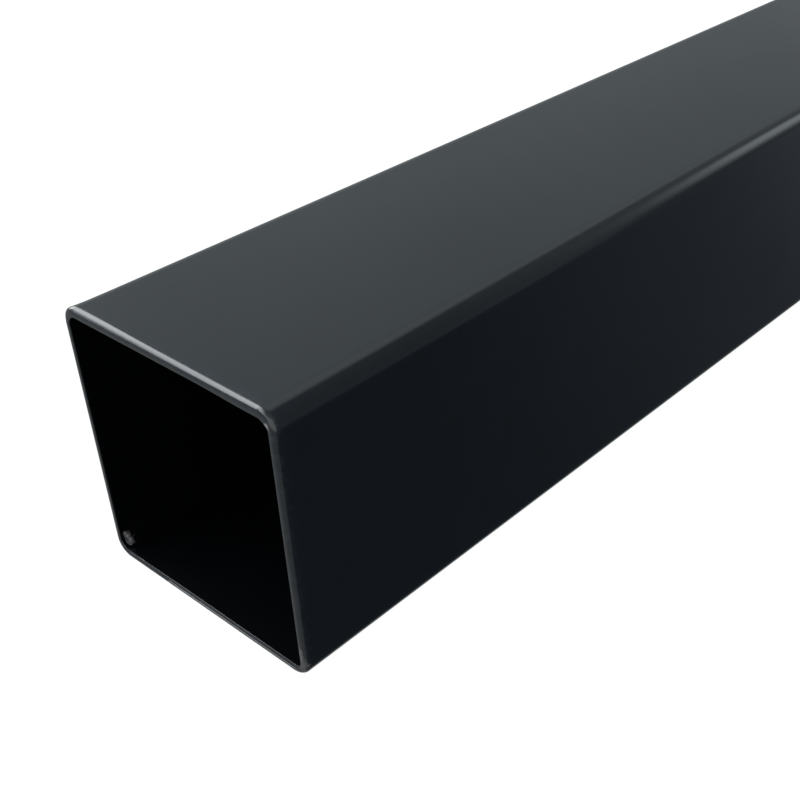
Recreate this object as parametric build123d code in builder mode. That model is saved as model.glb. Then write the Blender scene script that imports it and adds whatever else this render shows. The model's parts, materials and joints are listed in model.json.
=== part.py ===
from build123d import *
import math
import os

# Square hollow section, cold formed from steel strip and seam welded, cut to
# length, deburred at both ends and powder coated in black. It is one piece.
# Millimetres. The tube lies along Y on its bottom face. The origin is under
# the middle of the tube, on the plane it lies on. +Z is up.

# ---- driving dimensions -------------------------------------------------
side = 100.0            # outside width and height of the square
wall = 3.0              # wall thickness
length = 1000.0         # cut length
corner_outer = 7.0      # outside corner radius, 2.3 x wall
corner_inner = corner_outer - wall   # inside corner radius, concentric

rim_outer = 2.0         # rounding of the outside edge of each cut end
rim_inner = 0.5         # rounding of the inside edge of each cut end

bead_width = 8.0        # the weld's inside bead, an oval bar part sunk in the wall
bead_depth = 4.0        # the oval's other width, square to the wall
bead_sink = 0.25        # the oval's centre lies this far under the wall's inside
bead_centre_z = 6.0     # and this high, beside the start of the corner arc
bead_lean = 20.0        # degrees, the oval's foot leans into the corner
bead_setback = 1.6      # the bead stops this far in from each end
bead_nose = 0.9         # rounding of the bead's two noses

# ---- derived ------------------------------------------------------------
half = side / 2
bore = side - 2 * wall
end_y = length / 2

# The bead runs along the foot of the -X wall and down over the corner arc. It
# stands 1.7 mm off the inside, from 3.5 to 9.2 mm above the tube's underside.
bead_x = -half + wall - bead_sink
bead_end_y = end_y - bead_setback

# ---- the weld bead ------------------------------------------------------
with BuildPart() as weld_bead:
    with BuildSketch(Plane.XZ) as bead_section:
        with Locations(Location((bead_x, bead_centre_z), bead_lean)):
            Ellipse(bead_depth / 2, bead_width / 2)
    extrude(amount=bead_end_y, both=True)
    # each nose is rounded where the end of the bead has been dressed
    fillet(weld_bead.faces().filter_by(Axis.Y).edges(), radius=bead_nose)

# ---- the tube -----------------------------------------------------------
with BuildPart() as square_tube:
    # rolled section: rounded square outside, concentric rounded square inside
    with BuildSketch(Plane.XZ) as section:
        with Locations((0, half)):
            RectangleRounded(side, side, corner_outer)
            RectangleRounded(bore, bore, corner_inner, mode=Mode.SUBTRACT)
    extrude(amount=end_y, both=True)

    # the two sawn ends: the long outside loop gets the larger rounding and
    # the inside loop only has its burr taken off
    ends = square_tube.faces().filter_by(Axis.Y)
    outer_loop = [e for f in ends for e in f.outer_wire().edges()]
    inner_loop = [e for f in ends for w in f.inner_wires() for e in w.edges()]
    fillet(outer_loop, radius=rim_outer)
    fillet(inner_loop, radius=rim_inner)

    # the weld bead is one metal with the wall it runs along
    add(weld_bead.part)

square_tube.part.label = "square_tube"

# ---- report and export --------------------------------------------------
solid = square_tube.part
box = solid.bounding_box()
print("solids", len(solid.solids()), "valid", solid.is_valid)
print("box", box.min, box.max)
print("volume mm3", round(solid.volume, 1), "mass kg", round(solid.volume * 7.85e-6, 3))
print("bead centre x %.2f z %.2f" % (bead_x, bead_centre_z))

os.makedirs("parts", exist_ok=True)
export_step(square_tube.part, "parts/square_tube.step")
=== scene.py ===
import json
import math

import bpy
import numpy as np
from mathutils import Matrix, Vector, noise

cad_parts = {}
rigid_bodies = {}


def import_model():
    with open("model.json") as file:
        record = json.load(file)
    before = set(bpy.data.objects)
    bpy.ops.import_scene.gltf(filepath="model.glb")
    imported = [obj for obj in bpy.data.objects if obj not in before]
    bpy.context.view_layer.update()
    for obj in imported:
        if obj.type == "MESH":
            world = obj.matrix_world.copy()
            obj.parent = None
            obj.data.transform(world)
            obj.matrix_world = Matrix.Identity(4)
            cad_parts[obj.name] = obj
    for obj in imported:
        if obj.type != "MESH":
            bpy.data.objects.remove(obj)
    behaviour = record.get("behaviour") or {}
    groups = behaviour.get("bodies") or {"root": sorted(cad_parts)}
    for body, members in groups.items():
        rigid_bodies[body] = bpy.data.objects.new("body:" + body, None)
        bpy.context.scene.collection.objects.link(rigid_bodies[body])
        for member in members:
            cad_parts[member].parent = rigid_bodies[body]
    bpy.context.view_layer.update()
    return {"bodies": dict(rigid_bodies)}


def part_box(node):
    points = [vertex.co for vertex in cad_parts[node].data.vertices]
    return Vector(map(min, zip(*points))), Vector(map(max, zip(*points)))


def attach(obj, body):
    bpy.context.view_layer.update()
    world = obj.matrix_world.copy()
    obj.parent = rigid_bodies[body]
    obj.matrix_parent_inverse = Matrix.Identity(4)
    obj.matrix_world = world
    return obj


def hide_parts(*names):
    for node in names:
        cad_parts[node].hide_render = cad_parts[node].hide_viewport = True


# ---------------------------------------------------------------------------
# The frame: one CAD node, square_tube, on the body root. Metres, +Y along the
# tube, +Z up, and the end that faces the camera is the -Y one.
# ---------------------------------------------------------------------------
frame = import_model()
BODY = "root" if "root" in frame["bodies"] else list(frame["bodies"])[0]
NODE = "square_tube"
node_lo, node_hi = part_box(NODE)

scene = bpy.context.scene
scene.view_settings.view_transform = "Standard"
scene.view_settings.look = "None"
scene.view_settings.exposure = 0.0
scene.view_settings.gamma = 1.0

# real sizes, the same as the construction's
MM = 0.001
SIDE = 100 * MM
WALL = 3 * MM
R_OUT = 7 * MM                 # outside corner
R_IN = R_OUT - WALL            # inside corner
RIM_OUT = 2.0 * MM             # rounding of the outside edge of a cut end
RIM_IN = 0.42 * MM             # rounding of the coated inside edge of a cut end
END_Y = 500 * MM
HALF = SIDE / 2

# the weld bead inside, at the foot of the -X wall
BEAD_H = 1.7 * MM              # how far it stands up
BEAD_W = 3.3 * MM              # half its width, measured round the inside
BEAD_MID = -1.0 * MM           # its middle, 1 mm down the corner arc
BEAD_START = 1.50 * MM         # how far in from the end it begins, up on the wall

# the bottom wall's inside edge was filed off at a slant: depth from the inside
# face and distance in from the end, for the seven rows of the inside rounding
FILED = [(-1.10, 0.0), (-0.75, 0.25), (-0.37, 0.52), (-0.07, 0.735), (-0.03, 0.765), (-0.012, 0.795), (0.0, 0.825)]

# ---------------------------------------------------------------------------
# camera
# ---------------------------------------------------------------------------
cam_data = bpy.data.cameras.new("camera")
cam_data.sensor_width = 36.0
cam_data.sensor_fit = "HORIZONTAL"
cam_data.lens = 54.364
cam_data.shift_x = -0.075
cam_data.shift_y = 0.05
cam_data.clip_start = 0.01
cam_data.clip_end = 60.0
cam_data.dof.use_dof = False
camera = bpy.data.objects.new("camera", cam_data)
scene.collection.objects.link(camera)
right = Vector((0.7484294070, 0.6626895522, -0.0263927826))
down = Vector((0.3617350584, -0.4412444331, -0.8212497171))
ahead = Vector((-0.5558792756, 0.6050999155, -0.5699581768))
m = Matrix.Identity(4)
for i in range(3):
    m[i][0], m[i][1], m[i][2] = right[i], -down[i], -ahead[i]
m[0][3], m[1][3], m[2][3] = 0.267730, -0.663581, 0.276085
camera.matrix_world = m
scene.camera = camera


# ---------------------------------------------------------------------------
# the tube's mesh: a closed grid, round the section one way and along the
# wall's own outline (outside, rim, bore, rim) the other way
# ---------------------------------------------------------------------------
def section_loop():
    """Stations round the section: (arc centre line point x, z, normal x, z, s) and the arcs' share."""
    h = HALF - R_OUT
    centres = [(h, HALF + h), (h, HALF - h), (-h, HALF - h), (-h, HALF + h)]
    start = [90.0, 0.0, -90.0, -180.0]
    arc_steps = [22, 22, 44, 22]          # the corner with the weld bead is finer
    flat = 2 * h
    # stations along a flat, closer together beside its arcs
    edge = [0.25 * MM, 0.8 * MM, 1.8 * MM]
    n_mid = 66
    inner = np.linspace(edge[-1], flat - edge[-1], n_mid + 1)[1:-1]
    plain = edge + list(inner) + [flat - e for e in reversed(edge)]
    beaded = [0.2 * MM * (i + 1) for i in range(21)] + [5.0 * MM] + [v for v in inner if v > 5.6 * MM] + plain[-3:]
    out, s = [], 0.0
    for k in range(4):
        pc, cc = centres[k - 1], centres[k]
        an = math.radians(start[k])
        dx, dz = (cc[0] - pc[0]) / flat, (cc[1] - pc[1]) / flat
        for u in (beaded if k == 3 else plain):
            out.append((pc[0] + dx * u, pc[1] + dz * u, math.cos(an), math.sin(an), s + u, -1.0))
        s += flat
        n = arc_steps[k]
        for i in range(n + 1):
            a = math.radians(start[k] - 90.0 * i / n)
            out.append((cc[0], cc[1], math.cos(a), math.sin(a), s + R_OUT * math.radians(90.0 * i / n), k + i / n))
        s += R_OUT * math.pi / 2
    return np.array(out), s


loop, loop_len = section_loop()
N = len(loop)


def wall_outline():
    """Rows along the wall's outline: (depth in from the outside, y, side, k).

    side is 0 outside, 1 rim, 2 bore. k counts the inside rounding's rows, -2 is
    the flat of the end and -1 any other row.
    """
    rows = []
    # outside, from the -Y rim to the +Y rim
    near = [0.0, 0.3, 0.9, 2.0, 4.0, 7.0, 11.0, 17.0, 25.0]
    y0 = -END_Y + RIM_OUT
    mid = np.linspace(y0 + near[-1] * MM, -(y0 + near[-1] * MM), 61)
    ys = [y0 + v * MM for v in near[:-1]] + list(mid) + [-(y0 + v * MM) for v in reversed(near[:-1])]
    rows += [(0.0, y, 0, -1) for y in ys]
    # +Y end: outer rim, flat, inner rim
    n1, n2 = 9, 6
    for i in range(1, n1 + 1):
        a = math.pi / 2 * i / n1
        rows.append((RIM_OUT - RIM_OUT * math.cos(a), END_Y - RIM_OUT + RIM_OUT * math.sin(a), 1, -1))
    rows.append((RIM_OUT + 0.25 * MM, END_Y, 1, -2))
    for i in range(n2 + 1):
        a = math.pi / 2 * i / n2
        rows.append((WALL - RIM_IN + RIM_IN * math.sin(a), END_Y - RIM_IN + RIM_IN * math.cos(a), 1 if i < n2 else 2, i))
    # bore, from the +Y mouth to the -Y mouth
    near = [0.22 * (i + 1) for i in range(20)] + [4.8, 5.3, 5.9, 6.6, 7.5, 9.0, 11.0, 14.0, 19.0, 26.0, 36.0]
    y0 = END_Y - RIM_IN
    mid = np.linspace(y0 - near[-1] * MM, -(y0 - near[-1] * MM), 24)
    ys = [y0 - v * MM for v in near[:-1]] + list(mid) + [-(y0 - v * MM) for v in reversed(near[:-1])]
    rows += [(WALL, y, 2, -1) for y in ys]
    # -Y end: inner rim, flat, outer rim back to the start
    for i in range(n2 + 1):
        a = math.pi / 2 * (1 - i / n2)
        rows.append((WALL - RIM_IN + RIM_IN * math.sin(a), -END_Y + RIM_IN - RIM_IN * math.cos(a), 1 if i else 2, n2 - i))
    rows.append((RIM_OUT + 0.25 * MM, -END_Y, 1, -2))
    for i in range(n1):
        a = math.pi / 2 * (1 - i / n1)
        rows.append((RIM_OUT - RIM_OUT * math.cos(a), -END_Y + RIM_OUT - RIM_OUT * math.sin(a), 1, -1))
    return rows


rows = wall_outline()
M = len(rows)


def smooth(a, b, v):
    t = min(1.0, max(0.0, (v - a) / (b - a)))
    return t * t * (3 - 2 * t)


def wob(x, y, z, scale, octaves=2):
    """Seeded-by-place noise, about -1 to 1."""
    return noise.fractal(Vector((x / scale, y / scale, z / scale)), 1.0, 2.0, octaves)


def bead_begin(q):
    """Distance in from the end where the bead's nose rises, further in towards the corner."""
    return BEAD_START + 0.6 * MM * (1 - smooth(-2.0 * MM, 2.0 * MM, q)) + 0.55 * MM * smooth(0.55, 1.05, abs(q) / BEAD_W)


def bead_height(q, y):
    """How far the weld bead stands off the inside: q is the way round the inside from the bead's middle."""
    from_end = END_Y - abs(y)
    end = 1 if y > 0 else -1
    w = BEAD_W * (1.0 + 0.09 * wob(3.1 * end, y, 0.7, 0.0035))
    t = abs(q - 0.25 * MM * wob(1.7, y, 5.3 * end, 0.009)) / w
    if t >= 1.0:
        return 0.0
    # a round, slightly lumpy back
    across = (1 - t * t) ** 0.8
    # the nose, left where the end was dressed: it starts nearer the mouth up on the
    # wall than down in the corner, and is ragged
    begin = bead_begin(q) - 0.1 * MM + 0.16 * MM * wob(q, 2.0 * end, 9.0, 0.0013)
    n = min(1.0, max(0.0, (from_end - begin) / (1.2 * MM)))
    nose = math.sqrt(1 - (1 - n) ** 2)
    lump = 1.0 + 0.16 * wob(q, y, 4.0, 0.0015)
    return min(BEAD_H, 0.93 * BEAD_H * across * nose * lump) if n > 0 else 0.0


def bead_dust(q, y):
    """How bare and dusty the bead is: the nose, most of all down towards the corner, is coated again further in."""
    inward = END_Y - abs(y) - bead_begin(q) + 0.18 * MM * wob(q, y, 6.0, 0.0012)
    level = 0.85 - 0.25 * smooth(-1.0 * MM, 2.0 * MM, q)
    edge = 1 - smooth(0.66, 1.04, abs(q) / BEAD_W)
    return level * smooth(-0.15 * MM, 0.65 * MM, inward) * edge * (1 - smooth(1.1 * MM, 2.3 * MM, inward))


verts = np.zeros((M * N, 3))
inside = np.zeros(M * N)
lip = np.zeros(M * N)
rim_mask = np.zeros(M * N)
bead = np.zeros(M * N)
wear_and_highlight = np.zeros(M * N)
for j, (_, _, side, k_in) in enumerate(rows):
    for i in range(N):
        bx, bz, nx, nz, s, corner = loop[i]
        d, y = rows[j][0], rows[j][1]
        sgn = 1.0 if y > 0 else -1.0
        # how far the slant of the filed edge is there: the bottom wall, less at its bead end
        filed = smooth(0.30, 0.95, -nz)
        size = 0.66 + 0.34 * smooth(-40 * MM, -8 * MM, bx)
        if k_in >= 0:
            d += filed * (WALL + FILED[k_in][0] * size * MM - d)
            y = sgn * (END_Y - (END_Y - abs(y)) * (1 - filed) - FILED[k_in][1] * size * MM * filed)
        elif k_in == -2:
            d -= 0.22 * MM * filed
        elif side == 2:
            y -= sgn * (FILED[-1][1] * size * MM - RIM_IN) * filed * (1 - smooth(6 * MM, 30 * MM, END_Y - abs(y)))
        r = R_OUT - d
        x, z = bx + nx * r, bz + nz * r
        # this end's top edge is rounded over a little further towards its left
        if sgn < 0 and side != 2 and d <= RIM_OUT and bz > HALF:
            e = END_Y - abs(y)
            y = -(END_Y - e * (1 + 0.24 * smooth(0.6, 0.95, nz) * smooth(-5 * MM, -38 * MM, bx) * (1 - smooth(2.0 * MM, 10.0 * MM, e))))
        yy = y
        from_end = END_Y - abs(y)
        if side == 1:
            # the deburred, coated edge: slightly uneven round the loop
            a = 0.055 * MM * wob(s * 1.0, 0.3 + sgn, 2.0, 0.006) + 0.02 * MM * wob(s, 4.0 + sgn, 7.0, 0.0018, 1)
            depth_in = min(1.0, d / RIM_OUT) * min(1.0, (WALL - d) / (0.4 * MM) + 0.3)
            yy = y - sgn * abs(a) * depth_in
        elif side == 0:
            # rolled flats are never quite flat: a few hundredths over a hand's width
            k = 1.0 if corner < 0 else 0.0
            if k:
                fa = smooth(0.0, 14 * MM, min(abs(s % (loop_len / 4)), 86 * MM - (s % (loop_len / 4))))
                fl = smooth(2.0 * MM, 40 * MM, from_end)
                a = -0.05 * MM * fa * fl * (0.6 + 0.6 * wob(x * 0.6, y * 0.35, z * 0.6, 0.06))
                x += nx * a
                z += nz * a
        if side == 2 and bx < 0 and bz < 14 * MM and (corner >= 2.0 or nx < -0.9):
            q = (R_IN * math.radians(90.0 * (corner - 3.0)) if corner >= 2.0 else bz - R_OUT) - BEAD_MID
            h = bead_height(q, y)
            x -= nx * h
            z -= nz * h
            # the nose is bare and dusty, further in the coat covers the bead
            bead[j * N + i] = bead_dust(q, y)
        # the upper left corner of this end is drawn out a little, squarer than the rolled one
        if sgn < 0 and corner >= 3 and bx < 0 and bz > HALF and side != 2 and from_end < 16 * MM:
            k = 0.55 * (1 - smooth(0.5 * MM, 3.0 * MM, from_end)) + 0.30 * (1 - smooth(2.5 * MM, 7.0 * MM, from_end)) + 0.15 * (1 - smooth(5.0 * MM, 16.0 * MM, from_end))
            k *= (1 - smooth(1.8 * MM, 2.9 * MM, d)) * r * ((abs(nx) ** 2.85 + abs(nz) ** 2.85) ** (-1 / 2.85) - 1)
            x += nx * k * 0.6
            z += nz * k
        # the upper right corner of this end was knocked: its inside lip is pushed in a little
        if sgn < 0 and d > 1.2 * MM and from_end < 6 * MM and bz > HALF and bx > 0:
            k = smooth(58 * MM, 83 * MM, s) * (1 - smooth(90 * MM, 96 * MM, s)) * smooth(1.2 * MM, 2.7 * MM, d) * (1 - smooth(1.5 * MM, 6.0 * MM, from_end))
            x -= nx * 0.55 * MM * k
            z -= nz * 0.55 * MM * k
        # where the end has been knocked: coat thinned to grey, which is also a painted highlight on these lips
        if from_end < 6 * MM:
            w = 0.0
            if 0 <= corner <= 1 and bx > 0 and bz > HALF:
                # inside lip of the upper right corner
                w = smooth(0.48, 0.60, corner) * (1 - 0.75 * smooth(0.64, 0.80, corner)) * (1 - smooth(0.80, 0.96, corner)) * smooth(1.5 * MM, 2.1 * MM, d) * (1 - smooth(0.5 * MM, 1.2 * MM, from_end)) * 0.72
            elif corner < 0 and nx > 0.9:
                # inner half of the right wall's end, near its foot
                w = 0.17 * (1 - smooth(12.0 * MM, 14.5 * MM, z)) * max(smooth(0.9 * MM, 1.7 * MM, d), 0.8 * (1 - smooth(7.5 * MM, 10.0 * MM, z)) * smooth(0.1 * MM, 0.7 * MM, d))
            elif 1 <= corner <= 2 and bx > 0 and bz < HALF and side == 1:
                # and the lower right corner
                w = 0.15 * (1 - smooth(1.2, 1.5, corner)) * (1 - 0.5 * smooth(1.4 * MM, 2.2 * MM, d))
            if w > 0:
                wear_and_highlight[j * N + i] = max(0.0, w * (1.0 + 0.45 * wob(s, d * 1.5, 3.0 * sgn, 0.0021)))
        verts[j * N + i] = (x, yy, z)
        # 1 on the bore, rising over the inner rim's rows: the material darkens the colour there as painted shade
        # and makes it rougher
        inside[j * N + i] = 1.0 if side == 2 else smooth(3, 6, k_in)
        lip[j * N + i] = smooth(1, 5, k_in) if side == 1 else (1.0 - smooth(0.0, 1.2 * MM, from_end - RIM_IN) if side == 2 else 0.0)
        # 1 on the rim's crown, fading out over a few mm on the outside
        if side == 1:
            rim_mask[j * N + i] = 1.0
        elif side == 0:
            rim_mask[j * N + i] = 1.0 - smooth(0.0, 2.5 * MM, from_end - RIM_OUT)
        else:
            rim_mask[j * N + i] = 1.0 - smooth(0.0, 1.5 * MM, from_end - RIM_IN)

# faces, wound so that normals point out of the steel
faces = []
for j in range(M):
    j2 = (j + 1) % M
    for i in range(N):
        i2 = (i + 1) % N
        faces.append((j * N + i, j * N + i2, j2 * N + i2, j2 * N + i))

mesh = bpy.data.meshes.new("tube")
mesh.from_pydata([tuple(v) for v in verts], [], faces)
mesh.update()

# check the winding with the volume's sign, and turn all faces over if it is inside out
v = verts
f = np.array(faces)
p0, p1, p2, p3 = v[f[:, 0]], v[f[:, 1]], v[f[:, 2]], v[f[:, 3]]
vol = (np.einsum("ij,ij->i", p0, np.cross(p1, p2)) + np.einsum("ij,ij->i", p0, np.cross(p2, p3))).sum() / 6
if vol < 0:
    mesh.flip_normals()
print("tube volume cm3 %.1f, quads %d" % (abs(vol) * 1e6, len(faces)))

for name, data in (("inside", inside), ("rim", rim_mask), ("bead", bead), ("wear_and_highlight", wear_and_highlight), ("lip", lip)):
    att = mesh.attributes.new(name, "FLOAT", "POINT")
    att.data.foreach_set("value", data.astype(np.float32))
mesh.polygons.foreach_set("use_smooth", [True] * len(mesh.polygons))

# the bake's map: the outside and the bore side by side, each unrolled flat, at one scale
outline = [0.0]
for j in range(M):
    d0, y0 = rows[j][:2]
    d1, y1 = rows[(j + 1) % M][:2]
    outline.append(outline[-1] + math.hypot(d1 - d0, y1 - y0))
split_a = max(j for j in range(M) if rows[j][2] == 0) + 9 + 1     # the +Y end's flat
uv = mesh.uv_layers.new(name="OFBake")
tube = bpy.data.objects.new("tube", mesh)
scene.collection.objects.link(tube)


# ---------------------------------------------------------------------------
# node helpers
# ---------------------------------------------------------------------------
class E:
    """A number in a node tree. Arithmetic makes Math nodes."""

    tree = None

    def __init__(self, sock):
        self.s = sock

    @staticmethod
    def _put(node, i, v):
        if isinstance(v, E):
            E.tree.links.new(v.s, node.inputs[i])
        else:
            node.inputs[i].default_value = v

    def _op(self, op, other, flip=False):
        n = E.tree.nodes.new("ShaderNodeMath")
        n.operation = op
        a, b = (other, self) if flip else (self, other)
        E._put(n, 0, a)
        E._put(n, 1, b)
        return E(n.outputs[0])

    def __add__(self, o): return self._op("ADD", o)
    def __radd__(self, o): return self._op("ADD", o, True)
    def __sub__(self, o): return self._op("SUBTRACT", o)
    def __rsub__(self, o): return self._op("SUBTRACT", o, True)
    def __mul__(self, o): return self._op("MULTIPLY", o)
    def __rmul__(self, o): return self._op("MULTIPLY", o, True)

    def step(self, a, b, lo=0.0, hi=1.0):
        """lo below a, hi above b, smooth between."""
        n = E.tree.nodes.new("ShaderNodeMapRange")
        n.interpolation_type = "SMOOTHSTEP"
        n.clamp = True
        E._put(n, 0, self)
        if a > b:
            a, b, lo, hi = b, a, hi, lo
        n.inputs[1].default_value, n.inputs[2].default_value = a, b
        E._put(n, 3, lo)
        E._put(n, 4, hi)
        return E(n.outputs[0])


def mix(a, b, t):
    return a * (1 - t) + b * t if isinstance(a, E) or isinstance(b, E) else t * (b - a) + a


# ---------------------------------------------------------------------------
# studio light: the surroundings, as a soft function of direction
# ---------------------------------------------------------------------------
world = bpy.data.worlds.new("studio")
scene.world = world
world.use_nodes = True
wt = world.node_tree
wt.nodes.clear()
E.tree = wt
tc = wt.nodes.new("ShaderNodeTexCoord")
sep = wt.nodes.new("ShaderNodeSeparateXYZ")
wt.links.new(tc.outputs["Generated"], sep.inputs[0])
dx, dy, dz = (E(sep.outputs[k]) for k in range(3))

# the direction's turn about the tube's own line, in degrees: -90 is level to the
# left, 0 straight up, 90 level to the right
turn = dx._op("ARCTAN2", dz) * 57.29578


def between(v, c, half):
    """0 below the moving edge c, 1 above it; half may move too."""
    if isinstance(half, E):
        return (v - c)._op("DIVIDE", half).step(-1.0, 1.0)
    return (v - c).step(-half, half)


# behind: a pale sky to the left, brighter overhead, a dimmer band to the right
# of it, dark ground at the lower right, and a small bright window far back
depth_gain = dy.step(0.66, 0.80, 0.83, 1.04) + dy.step(0.84, 0.90, 0.0, 0.16)
left_gain = turn.step(-63.0, -55.0, dy.step(0.50, 0.68, 0.97, 1.10), 1.0) * 1.135
back_left = dy.step(0.50, 0.88, 0.56, 0.27) * turn.step(-54.0, -8.0, 1.0, 1.9) * depth_gain * left_gain
back_band = dy.step(0.55, 0.84, 0.19, 0.38) + dy.step(0.56, 0.68, 0.035, 0.0)
drift = turn - dy.step(0.775, 0.828, 18.0, -8.0)
far_win = drift.step(14.0, 38.0) * drift.step(82.0, 46.0) * dy.step(0.768, 0.843, 0.0, 2.1) * dy.step(0.838, 0.868, 1.0, 0.42)
back_low = (dy.step(0.58, 0.84, 0.05, 0.10) + dy.step(0.80, 0.90, 0.0, 0.14)) * (turn.step(114.0, 134.0, 1.52, 1.18) + turn.step(132.0, 141.0, 0.0, -0.21))
back = mix(back_left, back_band + far_win, between(turn, dy.step(0.56, 0.78, 8.0, -6.0) + dy.step(0.72, 0.90, 0.0, -29.0), dy.step(0.62, 0.80, 9.0, 7.0)))
back = mix(back, back_low, between(turn, dy.step(0.70, 0.82, 106.0, 74.0), 5.0))
back = mix(back, 0.40, turn.step(-80.0, -92.0))
# beside and in front: a plain studio, paler above than below, darkest low on the right
sky = mix(dz.step(0.15, 0.85, 0.40, 0.75), 0.45, dx.step(-0.10, 0.05))
low_right = dz.step(-0.75, 0.0, 0.05, 0.22)
low = mix(0.41, low_right, dx.step(-0.15, 0.05) * dy.step(-0.60, -0.20))
front = mix(low, sky, dz.step(-0.05, 0.15))
# the big soft window at the front left; its frame stands at a slant
key_y = dx.step(-0.80, -0.72, 0.388, 0.21) + dx.step(-0.74, -0.67, 0.0, -0.25)
key_z = dx.step(-0.81, -0.70, 0.57, 0.22) + dx.step(-0.68, -0.63, 0.0, 0.30) + dx.step(-0.56, -0.46, 0.0, -0.15)
key = (1 - between(dy, key_y, 0.03)) * dx.step(0.15, -0.50) * between(dz, key_z, 0.09) * dz.step(0.98, 0.88)
key = key * (dx.step(-0.84, -0.75, 7.4, 5.7) + dx.step(-0.70, -0.67, 0.0, 3.3) - dx.step(-0.64, -0.52, 0.0, 3.7))
# a strip light at the far left, a little above level, and a low soft one at the front right
left_win = dx.step(-0.78, -0.88) * dy.step(-0.30, -0.08) * dy.step(0.40, 0.27) * dz.step(0.06, 0.38) * dz.step(0.72, 0.58)
right_win = dy.step(-0.10, -0.35) * dx.step(-0.20, 0.10) * dz.step(-0.35, -0.10) * dz.step(0.78, 0.62)
# the parts together; each has its own slight colour
behind = dy.step(0.30, 0.45)
part_back = back * behind
part_front = front * (1 - behind) + left_win * 6.0 + right_win * 1.2
low_side = turn.step(60.0, 110.0)
key_warm = dx.step(-0.70, -0.60)
env_r = part_back * (0.915 - low_side * 0.015) + part_front * 0.985 + key * 0.965
env_g = part_back + part_front + key * (1.0 - key_warm * 0.015)
env_b = part_back * (1.015 + low_side * 0.11) + part_front * 0.95 + key * (1.04 - key_warm * 0.08)

bg = wt.nodes.new("ShaderNodeBackground")
wo = wt.nodes.new("ShaderNodeOutputWorld")
comb = wt.nodes.new("ShaderNodeCombineXYZ")
for k, value in enumerate((env_r, env_g, env_b)):
    wt.links.new(value.s, comb.inputs[k])
wt.links.new(comb.outputs[0], bg.inputs["Color"])
bg.inputs["Strength"].default_value = 1.0
wt.links.new(bg.outputs[0], wo.inputs["Surface"])
world.cycles.sampling_method = "MANUAL"
world.cycles.sample_map_resolution = 1024

# ---------------------------------------------------------------------------
# floor and backdrop
# ---------------------------------------------------------------------------
def disc(name, radius, z, n=96):
    me = bpy.data.meshes.new(name)
    ring = [(radius * math.cos(2 * math.pi * i / n), radius * math.sin(2 * math.pi * i / n), z) for i in range(n)]
    me.from_pydata(ring, [], [tuple(range(n))])
    ob = bpy.data.objects.new(name, me)
    scene.collection.objects.link(ob)
    return ob


floor = disc("floor", 22.0, -0.0002)
fm = bpy.data.materials.new("pale_floor")
fm.use_nodes = True
ft = fm.node_tree
ft.nodes.clear()
E.tree = ft
out = ft.nodes.new("ShaderNodeOutputMaterial")
dif = ft.nodes.new("ShaderNodeBsdfDiffuse")
dif.inputs["Color"].default_value = (0.05, 0.05, 0.05, 1)
emi = ft.nodes.new("ShaderNodeEmission")
emi.inputs["Color"].default_value = (1, 1, 1, 1)
emi.inputs["Strength"].default_value = 0.985
add = ft.nodes.new("ShaderNodeAddShader")
ft.links.new(dif.outputs[0], add.inputs[0])
ft.links.new(emi.outputs[0], add.inputs[1])
ft.links.new(add.outputs[0], out.inputs["Surface"])
fm.cycles.emission_sampling = "NONE"
floor.data.materials.append(fm)
floor.visible_glossy = False
floor.visible_diffuse = False
floor.visible_shadow = False
floor.visible_transmission = False

bpy.ops.mesh.primitive_uv_sphere_add(segments=48, ring_count=24, radius=24.0, location=(0, 0, 0))
back = bpy.context.active_object
back.name = "backdrop"
bm_ = bpy.data.materials.new("pale_backdrop")
bm_.use_nodes = True
bt = bm_.node_tree
bt.nodes.clear()
out = bt.nodes.new("ShaderNodeOutputMaterial")
emi = bt.nodes.new("ShaderNodeEmission")
emi.inputs["Color"].default_value = (1, 1, 1, 1)
emi.inputs["Strength"].default_value = 1.0
bt.links.new(emi.outputs[0], out.inputs["Surface"])
bm_.cycles.emission_sampling = "NONE"
back.data.materials.append(bm_)
back.visible_glossy = False
back.visible_diffuse = False
back.visible_shadow = False
back.visible_transmission = False


# ---------------------------------------------------------------------------
# material: satin black powder coat on steel
# ---------------------------------------------------------------------------
mat = bpy.data.materials.new("black_powder_coat_satin")
mat.use_nodes = True
t = mat.node_tree
t.nodes.clear()
E.tree = t
out = t.nodes.new("ShaderNodeOutputMaterial")
bsdf = t.nodes.new("ShaderNodeBsdfPrincipled")
t.links.new(bsdf.outputs[0], out.inputs["Surface"])
geo = t.nodes.new("ShaderNodeNewGeometry")
pos = t.nodes.new("ShaderNodeTexCoord").outputs["Object"]


def tex_noise(scale, detail=2.0, rough=0.5, vec=None, stretch=None, offset=(0, 0, 0)):
    mp = t.nodes.new("ShaderNodeMapping")
    mp.inputs["Location"].default_value = offset
    if stretch:
        mp.inputs["Scale"].default_value = stretch
    t.links.new(vec or pos, mp.inputs["Vector"])
    n = t.nodes.new("ShaderNodeTexNoise")
    n.inputs["Scale"].default_value = scale
    n.inputs["Detail"].default_value = detail
    n.inputs["Roughness"].default_value = rough
    t.links.new(mp.outputs[0], n.inputs["Vector"])
    return E(n.outputs[0])


def attribute(name):
    a = t.nodes.new("ShaderNodeAttribute")
    a.attribute_name = name
    return E(a.outputs["Fac"])


a_bore_shade_and_rough = attribute("inside")
a_rim = attribute("rim")
a_bead = attribute("bead")
a_wear_and_highlight = attribute("wear_and_highlight")
a_lip = attribute("lip")
cloud = tex_noise(9.0, 3.0, 0.55, offset=(3.1, 0.4, 7.7))
mott = tex_noise(55.0, 3.0, 0.6, offset=(1.0, 5.0, 2.0))
fine = tex_noise(420.0, 2.0, 0.5)
grain = tex_noise(1500.0, 1.0, 0.5, offset=(9.0, 2.0, 4.0))

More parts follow.
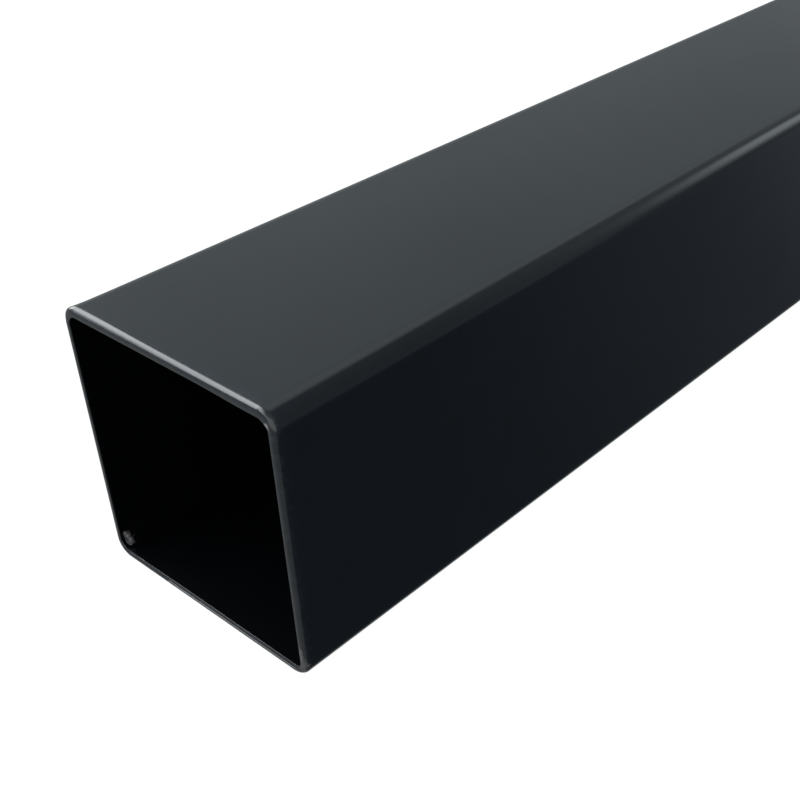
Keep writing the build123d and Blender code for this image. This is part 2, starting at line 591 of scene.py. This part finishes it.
spot = tex_noise(850.0, 2.0, 0.6, offset=(2.0, 8.0, 5.0))
val = 1.0 + (cloud - 0.5) * 0.35 + (mott - 0.5) * 0.25 + (grain - 0.5) * 0.20
# painted shade: the colour in the bore is cut to 15 % so the inside of the tube reads dark
lum = val * mix(1.0, 0.15, a_bore_shade_and_rough) * (1.0 + a_rim * (fine.step(0.35, 0.75)) * 0.9)


def tinted(value, rgb):
    """A colour: the number value times rgb."""
    cx = t.nodes.new("ShaderNodeCombineXYZ")
    for k in range(3):
        t.links.new(value.s, cx.inputs[k])
    n = t.nodes.new("ShaderNodeVectorMath")
    n.operation = "MULTIPLY"
    t.links.new(cx.outputs[0], n.inputs[0])
    n.inputs[1].default_value = rgb
    return n.outputs[0]


def colour_mix(fac, a, b):
    n = t.nodes.new("ShaderNodeMix")
    n.data_type = "RGBA"
    t.links.new(fac.s, n.inputs[0])
    t.links.new(a, n.inputs[6])
    t.links.new(b, n.inputs[7])
    return n.outputs[2]


# black coat; coat worn thin to grey on knocked edges, which is also a painted highlight on those lips; and the bare
# dusty nose of the bead
coat = tinted(lum, (0.0052, 0.0074, 0.0110))
worn_highlight_grey = tinted(spot.step(0.25, 0.75, 0.6, 1.5), (0.260, 0.262, 0.268))
dust = tinted(spot.step(0.30, 0.70, 0.35, 1.35), (0.131, 0.127, 0.152))
worn_and_highlight = a_wear_and_highlight * spot.step(0.25, 0.55, 0.55, 1.0)
col = colour_mix(worn_and_highlight, coat, worn_highlight_grey)
col = colour_mix(a_bead, col, dust)
t.links.new(col, bsdf.inputs["Base Color"])

rough = 0.160 + (cloud - 0.5) * 0.04 + (mott - 0.5) * 0.04
rough = rough + a_lip * 0.08 + a_bore_shade_and_rough * (1 - a_lip) * 0.05 + worn_and_highlight * 0.30
rough = mix(rough, 0.50, a_bead)
t.links.new(rough.s, bsdf.inputs["Roughness"])
bsdf.inputs["IOR"].default_value = 1.5
bsdf.inputs["Metallic"].default_value = 0.0

# bump: slow waves in the rolled wall, the coat's orange peel and its fine grain
height = (cloud - 0.5) * 0.00012 + (mott - 0.5) * 0.000014 + (fine - 0.5) * 0.0000032 + (grain - 0.5) * 0.0000006
height = height + (spot - 0.5) * a_bead * 0.00016
bump = t.nodes.new("ShaderNodeBump")
bump.inputs["Strength"].default_value = 1.0
bump.inputs["Distance"].default_value = 1.0
t.links.new(height.s, bump.inputs["Height"])
t.links.new(bump.outputs[0], bsdf.inputs["Normal"])
tube.data.materials.append(mat)

# the bake's map
uvs = np.zeros((len(mesh.loops), 2), dtype=np.float32)
vi = np.zeros(len(mesh.loops), dtype=np.int64)
mesh.loops.foreach_get("vertex_index", vi)
total = outline[-1]
half_total = total / 2
scale_uv = 0.97 / max(half_total, 2 * loop_len * 1.02)
pj = np.zeros(len(mesh.polygons), dtype=np.int64)
li = 0
for p in mesh.polygons:
    ids = [mesh.loops[l].vertex_index for l in p.loop_indices]
    js = [q // N for q in ids]
    is_ = [q % N for q in ids]
    jw = max(js) - min(js) > M // 2
    iw = max(is_) - min(is_) > N // 2
    jj = [j + M if (jw and j < M // 2) else j for j in js]
    lead = min(jj)
    # outside chart: from the -Y end flat, over the outside, to the +Y end flat
    for l, j, i in zip(p.loop_indices, jj, is_):
        s = loop[i][4] + (loop_len if (iw and i < N // 2) else 0.0)
        o = outline[j] if j < M else outline[j - M] + total
        outside = lead < split_a or lead >= M - 10
        if outside:
            if lead >= M - 10:
                o -= total
            o += 10 * MM
            uvs[l] = (0.012 + s * scale_uv, 0.012 + o * scale_uv)
        else:
            o -= outline[split_a]
            uvs[l] = (0.512 + s * scale_uv, 0.012 + o * scale_uv)
mesh.uv_layers["OFBake"].data.foreach_set("uv", uvs.ravel())

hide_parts(NODE)
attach(tube, BODY)
